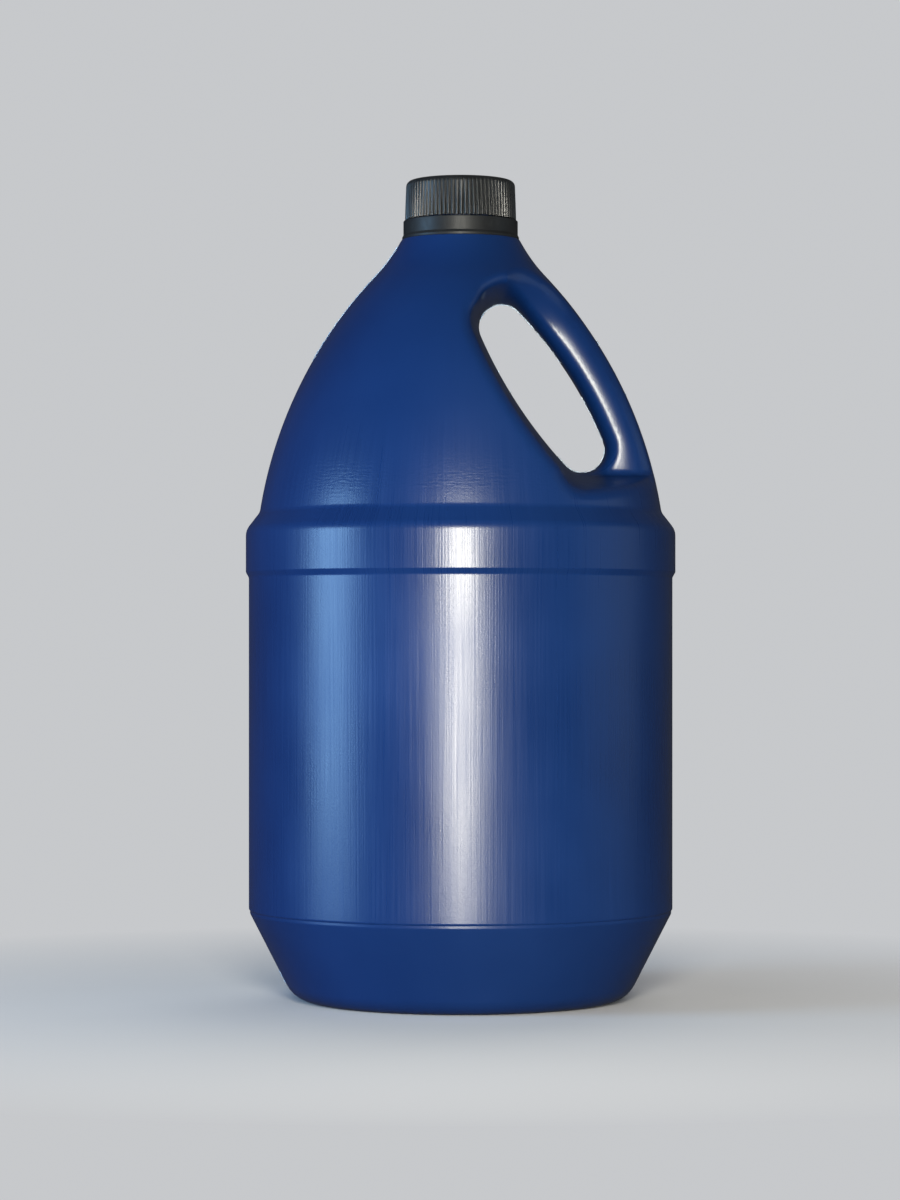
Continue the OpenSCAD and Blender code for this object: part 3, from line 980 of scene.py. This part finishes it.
# A torn edge: varying share of its height, paces of its waves, points and share of its run-out, hole's seed
TORN_SHARE = 0.25
TORN_PACES = (1.7, 0.61)
TORN_RUN_OUT = 2
TORN_LEFT = 0.15
HOLE_SEED = 7
# Where torn flash shows on the sides: side, lowest and highest level, height
SIDE_FLASH = [
    (-1, 233.5, 277.5, 0.55),
    (-1, 5.0, 12.2, 0.6),
    (-1, 34.5, 36.5, 0.45),
    (1, 239.5, 243.5, 0.5),
    (1, 229.0, 231.5, 0.5),
    (1, 221.0, 224.2, 0.55),
]
# Where it shows round the hole: share of the turn at which it starts and ends, height
HOLE_FLASH = [
    (0.272, 0.374, 0.4),
    (0.15, 0.272, 0.2),
    (0.785, 0.885, 0.38),
    (0.885, 0.97, 0.22),
    (0.438, 0.449, 0.9),
    (0.517, 0.528, 0.8),
]


def strip(skin, path, outs, heights, half_width):
    """A closed ridge along a path in the parting plane, which stands out from the wall."""
    rows = []
    for point, out, height in zip(path, outs, heights):
        row = []
        for across, up in RIDGE_SECTION:
            lift = -RIDGE_SUNK if up < 0 else up * height
            row.append([point[0] + out[0] * lift, across * half_width, point[1] + out[1] * lift])
        rows.append(row)
    rows = np.array(rows)
    normals = unit(rows - rows.mean(1, keepdims=True))
    tube(skin, [skin.add(row, normal) for row, normal in zip(rows, normals)])


def hole_outline():
    """The finger hole's edge in the parting plane, with normals that point into the hole."""
    a = 2 * math.pi * np.arange(HOLE_POINTS) / HOLE_POINTS
    ways = np.stack([np.cos(a), np.sin(a)], 1)
    reach = np.arange(*HOLE_SEARCH)
    spots = GRIP_CENTRE + ways[:, None, :] * reach[None, :, None]
    solid = shoulder_field(spots[..., 0], np.zeros(spots.shape[:2]), spots[..., 1]) < 0
    points = GRIP_CENTRE + ways * reach[solid.argmax(1)][:, None]
    along = unit(np.roll(points, -1, 0) - np.roll(points, 1, 0))
    return points, np.stack([-along[:, 1], along[:, 0]], 1)


def side_outline(side, low_z, high_z):
    """The shell's outline in the parting plane between two levels. The handle's side is 1, the other -1."""
    lower, lower_outs = rounded_path(SHELL_PATH, run_step=OUTLINE_STEP)
    levels = np.linspace(SHOULDER_FOOT_Z + OUTLINE_ROOM, LEDGE_Z - OUTLINE_ROOM, OUTLINE_POINTS)
    upper = np.array([[turned_radius(z, 0), z] for z in levels])
    along = unit(np.gradient(upper, axis=0))
    upper_outs = np.stack([along[:, 1], -along[:, 0]], 1)
    points = np.concatenate([lower, upper])
    outs = np.concatenate([lower_outs, upper_outs])
    r, z = points.T
    kept = (z >= low_z) & (z <= high_z) & ((r > BOTTOM_R) | (z >= SHOULDER_FOOT_Z))
    mirror = np.array([side, 1])
    return points[kept] * mirror, outs[kept] * mirror


def ragged(count, height, seed):
    """Heights of a torn edge that runs out at both ends."""
    a = np.arange(count)
    first, second = TORN_PACES
    wave = np.sin(a * first + seed) * np.sin(a * second + 2 * seed)
    ends = np.clip(np.minimum(a, a[::-1]) / TORN_RUN_OUT, TORN_LEFT, 1)
    return height * (1 - TORN_SHARE + TORN_SHARE * wave) * ends


def parting_seam(material):
    """The fine raised line that the mould's halves leave."""
    skin = Skin()
    for side in (-1, 1):
        points, outs = side_outline(side, SEAM_START_Z, LEDGE_Z)
        strip(skin, points, outs, np.full(len(points), SEAM_HEIGHT), SEAM_HALF_WIDTH)
    skin.piece("parting_seam", material, "jug")


def torn_flash(material):
    """Torn remains of flash on the parting line and round the finger hole."""
    skin = Skin()
    for number, (side, low_z, high_z, height) in enumerate(SIDE_FLASH):
        points, outs = side_outline(side, low_z, high_z)
        strip(skin, points, outs, ragged(len(points), height, number), FLASH_HALF_WIDTH)
    points, outs = hole_outline()
    for seed, (start, end, height) in enumerate(HOLE_FLASH, HOLE_SEED):
        part = slice(int(start * HOLE_POINTS), int(end * HOLE_POINTS))
        strip(skin, points[part], outs[part], ragged(len(points[part]), height, seed), FLASH_HALF_WIDTH)
    skin.piece("torn_flash", material, "jug")


# Closure

RIB_COLUMNS = 12
BAND_COLUMNS = 160
THREAD_COLUMNS = 72
# A thread runs out over so many columns, to this share of its width
RUN_OUT_COLUMNS = 10
RUN_OUT_LEFT = 0.35
# One flank of a thread: share of its height out from the wall, and distance from its middle
THREAD_FLANK = [(-0.2, 0.95), (0.35, 0.8), (0.85, 0.45), (1, 0.3)]
THREAD_SECTION = [(out, -up) for out, up in THREAD_FLANK] + THREAD_FLANK[::-1]
# The outward part that a thread's normals have at least
THREAD_LEAST_OUT = 0.1


def thread(name, root_r, crest_r, low_z, turns, material, body):
    """A right-hand screw thread on a wall of radius root_r, which runs out at both ends."""
    skin = Skin()
    steps = int(THREAD_COLUMNS * turns)
    side = math.copysign(1, crest_r - root_r)
    rings = []
    for i in range(steps + 1):
        a = 2 * math.pi * turns * i / steps
        run_out = min(1.0, i / RUN_OUT_COLUMNS, (steps - i) / RUN_OUT_COLUMNS)
        middle_z = low_z + THREAD_PITCH * turns * i / steps
        width = RUN_OUT_LEFT + (1 - RUN_OUT_LEFT) * run_out
        row = []
        normals = []
        for out, up in THREAD_SECTION:
            r = root_r + (crest_r - root_r) * (out if out < 0 else out * run_out)
            row.append(around_axis(a, r, middle_z + up * width))
            normals.append(unit(around_axis(a, side * max(out, THREAD_LEAST_OUT), up)))
        rings.append(skin.add(row, normals))
    tube(skin, rings if side < 0 else rings[::-1])
    skin.piece(name, material, body)


def ribbed_cap(material):
    """The cap: rounded ribs that fade into its round top edge, a plain bore and a flat top."""
    skin = Skin()
    bore_top = CAP_TOP_Z - CAP_TOP
    inside = [
        ((0, bore_top), 0),
        ((CAP_BORE_R, bore_top), CORNER_ROUND),
        ((CAP_BORE_R, CAP_Z), FINE_EDGE),
        ((CAP_BORE_R + CAP_LIP, CAP_Z), 0),
    ]
    last = turn_profile(skin, RIB_COUNT, rounded_path(inside))
    top_r = CAP_R - (CAP_TOP_Z - CAP_Z) * math.tan(math.radians(CAP_LEAN))
    lid_r = top_r - CAP_ROUND - LID_EDGE
    outside = [
        ((CAP_R - ROUND_EDGE, CAP_Z), 0),
        ((CAP_R, CAP_Z), RIM_EDGE),
        ((top_r, CAP_TOP_Z), CAP_ROUND),
        ((lid_r, CAP_TOP_Z), 0),
    ]
    envelope, _ = rounded_path(outside, run_step=1.6)
    many = RIB_COUNT * RIB_COLUMNS
    a = column_angles(many)
    from_crest = (np.arange(many) + 0.5) / many * RIB_COUNT - RIB_PHASE
    outline = CAP_R - RIB_DEPTH * (1 - np.abs(np.cos(math.pi * from_crest)))
    rows = around_axis(a, smooth_min(outline, envelope[:, :1], RIB_BLEND), envelope[:, 1:])
    across = np.roll(rows, -1, 1) - np.roll(rows, 1, 1)
    normals = np.cross(across, np.gradient(rows, axis=0))
    # The lowest row edges the flat underside, where the valleys have no slope
    normals[0] = (0, 0, -1)
    normals = unit(normals)
    for row, normal in zip(rows, normals):
        current = skin.add(row, normal)
        skin.band(last, current)
        last = current
    lid = [((lid_r - CAP_LIP, CAP_TOP_Z), 0), ((0, CAP_TOP_Z), 0)]
    turn_profile(skin, RIB_COUNT, rounded_path(lid, run_step=5), last)
    made = skin.piece("ribbed_cap", material, "cap")
    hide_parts("cap")


def bridge_stub(skin, angle):
    """What is left of a snapped bridge on the tamper band's top."""
    out = np.array([math.cos(angle), math.sin(angle), 0])
    along = np.array([-math.sin(angle), math.cos(angle), 0])
    middle = out * (BAND_R - BAND_WALL / 2)
    corners = [(1, -1), (1, 1), (-1, 1), (-1, -1)]
    rings = []
    for share, z in ((1, BAND_TOP_Z - STUB_SUNK), (0.9, BAND_TOP_Z), (0.55, BAND_TOP_Z + STUB_H)):
        depth = out * STUB_HALF_DEPTH * share
        width = along * STUB_HALF_WIDTH * share
        row = [middle + depth * u + width * v for u, v in corners]
        lean = [out * u + along * v for u, v in corners]
        rings.append(skin.add(np.array(row) + [0, 0, z], np.array(lean) / math.sqrt(2)))
    tube(skin, rings)


def tamper_ring(material):
    """The tamper band, with soft edges and the stubs of its snapped bridges."""
    skin = Skin()
    bore_r = BAND_R - BAND_WALL
    lip_r = NECK_R + BEAD_PROUD / 2
    lip_z = LEDGE_Z + BEAD_Z - 2 * BEAD_PROUD
    profile = [
        ((bore_r + FINE_EDGE, LEDGE_Z), 0),
        ((BAND_R + BAND_FLARE, LEDGE_Z), RIM_EDGE),
        ((BAND_R + BAND_FLARE, LEDGE_Z + 2 * BAND_FLARE), SOFT_EDGE),
        ((BAND_R, LEDGE_Z + 4 * BAND_FLARE), CORNER_ROUND),
        ((BAND_R, BAND_TOP_Z), ROUND_EDGE),
        ((bore_r, BAND_TOP_Z), FINE_EDGE),
        ((bore_r, lip_z + BEAD_PROUD / 2), FINE_EDGE),
        ((lip_r, lip_z + BEAD_PROUD / 2), LIP_EDGE),
        ((lip_r, lip_z), LIP_EDGE),
        ((bore_r - FINE_EDGE / 2, LEDGE_Z), 0),
    ]
    turn_profile(skin, BAND_COLUMNS, rounded_path(profile, turn_step=15), closed=True)
    for i in range(STUB_COUNT):
        bridge_stub(skin, 2 * math.pi * (i + STUB_PHASE) / STUB_COUNT)
    made = skin.piece("tamper_ring", material, "jug")
    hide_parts("tamper_band")


def liner():
    """The foam disc keeps its solid and is given its material."""
    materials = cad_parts["cap_liner"].data.materials
    materials.clear()
    materials.append(foam())


# Studio, in metres

BACKDROP_COLOUR = (0.95, 0.97, 1.0)
BACKDROP_LEVEL = 0.6
MIRRORED_LEVEL = 0.06
ROOM_LEVEL = 0.1
FLOOR_REACH = 60
FLOOR_FADE = (0.1, 0.34)
CAMERA_PLACE = (-0.0039, -1.288, 0.1314)
CAMERA_LENS = 105
CAMERA_SENSOR = 36
CAMERA_SHIFT = 0.035


def backdrop(tree):
    """Strength of the surroundings: pale to the camera, dim in reflections, and a plain low level as light.
    Also returns whether the ray is a reflected one."""
    path = outputs(tree, "LightPath")
    mirrored = maths(tree, "MAXIMUM", path["Is Glossy Ray"], path["Is Transmission Ray"])
    level = maths(tree, "MULTIPLY_ADD", mirrored, MIRRORED_LEVEL - ROOM_LEVEL, ROOM_LEVEL)
    level = maths(tree, "MULTIPLY_ADD", path["Is Camera Ray"], BACKDROP_LEVEL - ROOM_LEVEL, level)
    return level, mirrored


def fade_to_backdrop(tree):
    """Lets a floor's shader go over into the backdrop away from the middle and in reflections."""
    length = tree.nodes.new("ShaderNodeVectorMath")
    length.operation = "LENGTH"
    tree.links.new(object_place(tree), length.inputs[0])
    level, mirrored = backdrop(tree)
    glow = outputs(tree, "Emission", Color=(*BACKDROP_COLOUR, 1), Strength=level)["Emission"]
    share = maths(tree, "MAXIMUM", ramp(tree, length.outputs["Value"], *FLOOR_FADE), mirrored)
    fade = tree.nodes.new("ShaderNodeMixShader")
    tree.links.new(share, fade.inputs[0])
    tree.links.new(tree.nodes["Principled BSDF"].outputs[0], fade.inputs[1])
    tree.links.new(glow, fade.inputs[2])
    tree.links.new(fade.outputs[0], tree.nodes["Material Output"].inputs["Surface"])


def studio_floor():
    """Pale paper under the jug, which fades into the backdrop so that no horizon shows."""
    mesh = bpy.data.meshes.new("floor")
    corners = [(FLOOR_REACH * x, FLOOR_REACH * y, 0) for x, y in ((-1, -1), (1, -1), (1, 1), (-1, 1))]
    mesh.from_pydata(corners, [], [(0, 1, 2, 3)])
    material = floor_paper()
    fade_to_backdrop(material.node_tree)
    mesh.materials.append(material)
    made = new_object("floor", mesh)


def soft_box(name, place, target, size, colour, radiance, spread=180, mirrored=True):
    """A soft box that faces target, whose face shines with that radiance and may show in reflections."""
    lamp = bpy.data.lights.new(name, "AREA")
    lamp.shape = "RECTANGLE"
    lamp.size, lamp.size_y = size
    lamp.color = colour
    lamp.energy = radiance * math.pi * size[0] * size[1]
    lamp.spread = math.radians(spread)
    made = new_object(name, lamp)
    made.location = place
    way = Vector(target) - Vector(place)
    made.rotation_euler = way.to_track_quat("-Z", "Y").to_euler()
    made.visible_camera = False
    made.visible_glossy = mirrored


def lamps():
    """A narrow warm box in front, a blue one on the left, and low fills."""
    # Name, place, target, size, colour and radiance
    soft_box("front", (0, -0.75, 0.18), (0, 0, 0.18), (0.125, 0.35), (1, 0.97, 0.86), 22, spread=110)
    soft_box("left", (-0.94, -0.34, 0.24), (0, 0, 0.16), (0.4, 0.46), (0.34, 0.64, 1), 13.2)
    soft_box("right", (1.2, -0.1, 0.35), (0, 0, 0.16), (0.9, 0.7), (0.7, 0.88, 1), 0.42)
    soft_box("back", (0.35, 1.1, 0.45), (0, 0, 0.15), (1, 0.8), (0.9, 0.95, 1), 1.7, mirrored=False)
    soft_box("top", (0, 1.1, 1.6), (0, 0.1, 0), (1.6, 1.2), (1, 1, 1), 0.7, mirrored=False)


def studio_world():
    """Surroundings that look like the backdrop."""
    world = bpy.data.worlds.new("studio")
    world.use_nodes = True
    tree = world.node_tree
    sky = tree.nodes["Background"]
    sky.inputs["Color"].default_value = (*BACKDROP_COLOUR, 1)
    tree.links.new(backdrop(tree)[0], sky.inputs["Strength"])
    bpy.context.scene.world = world


def camera():
    """The photo's view: level, from in front."""
    lens = bpy.data.cameras.new("camera")
    lens.lens = CAMERA_LENS
    lens.sensor_width = CAMERA_SENSOR
    lens.shift_y = CAMERA_SHIFT
    made = new_object("camera", lens)
    made.location = CAMERA_PLACE
    made.rotation_euler = (math.radians(90), 0, 0)
    bpy.context.scene.camera = made


# The part and its studio

jug_plastic = blown_plastic()
closure = closure_plastic("black_polypropylene", gloss=0.55, smooth=0.26, worn=0.34)
worn_closure = closure_plastic("worn_polypropylene", gloss=0.28, smooth=0.38, worn=0.52)
neck_thread_z = CAP_Z + THREAD_START
cap_thread_z = neck_thread_z + THREAD_PITCH / 2

jug_shell(jug_plastic)
parting_seam(jug_plastic)
torn_flash(flash_plastic())
ribbed_cap(closure)
tamper_ring(worn_closure)
thread("neck_thread", NECK_R, CAP_BORE_R - THREAD_GAP, neck_thread_z, NECK_TURNS, jug_plastic, "jug")
thread("cap_thread", CAP_BORE_R, NECK_R + THREAD_GAP, cap_thread_z, CAP_TURNS, closure, "cap")
liner()
studio_floor()
studio_world()
lamps()
camera()
bpy.context.scene.view_settings.view_transform = "Standard"
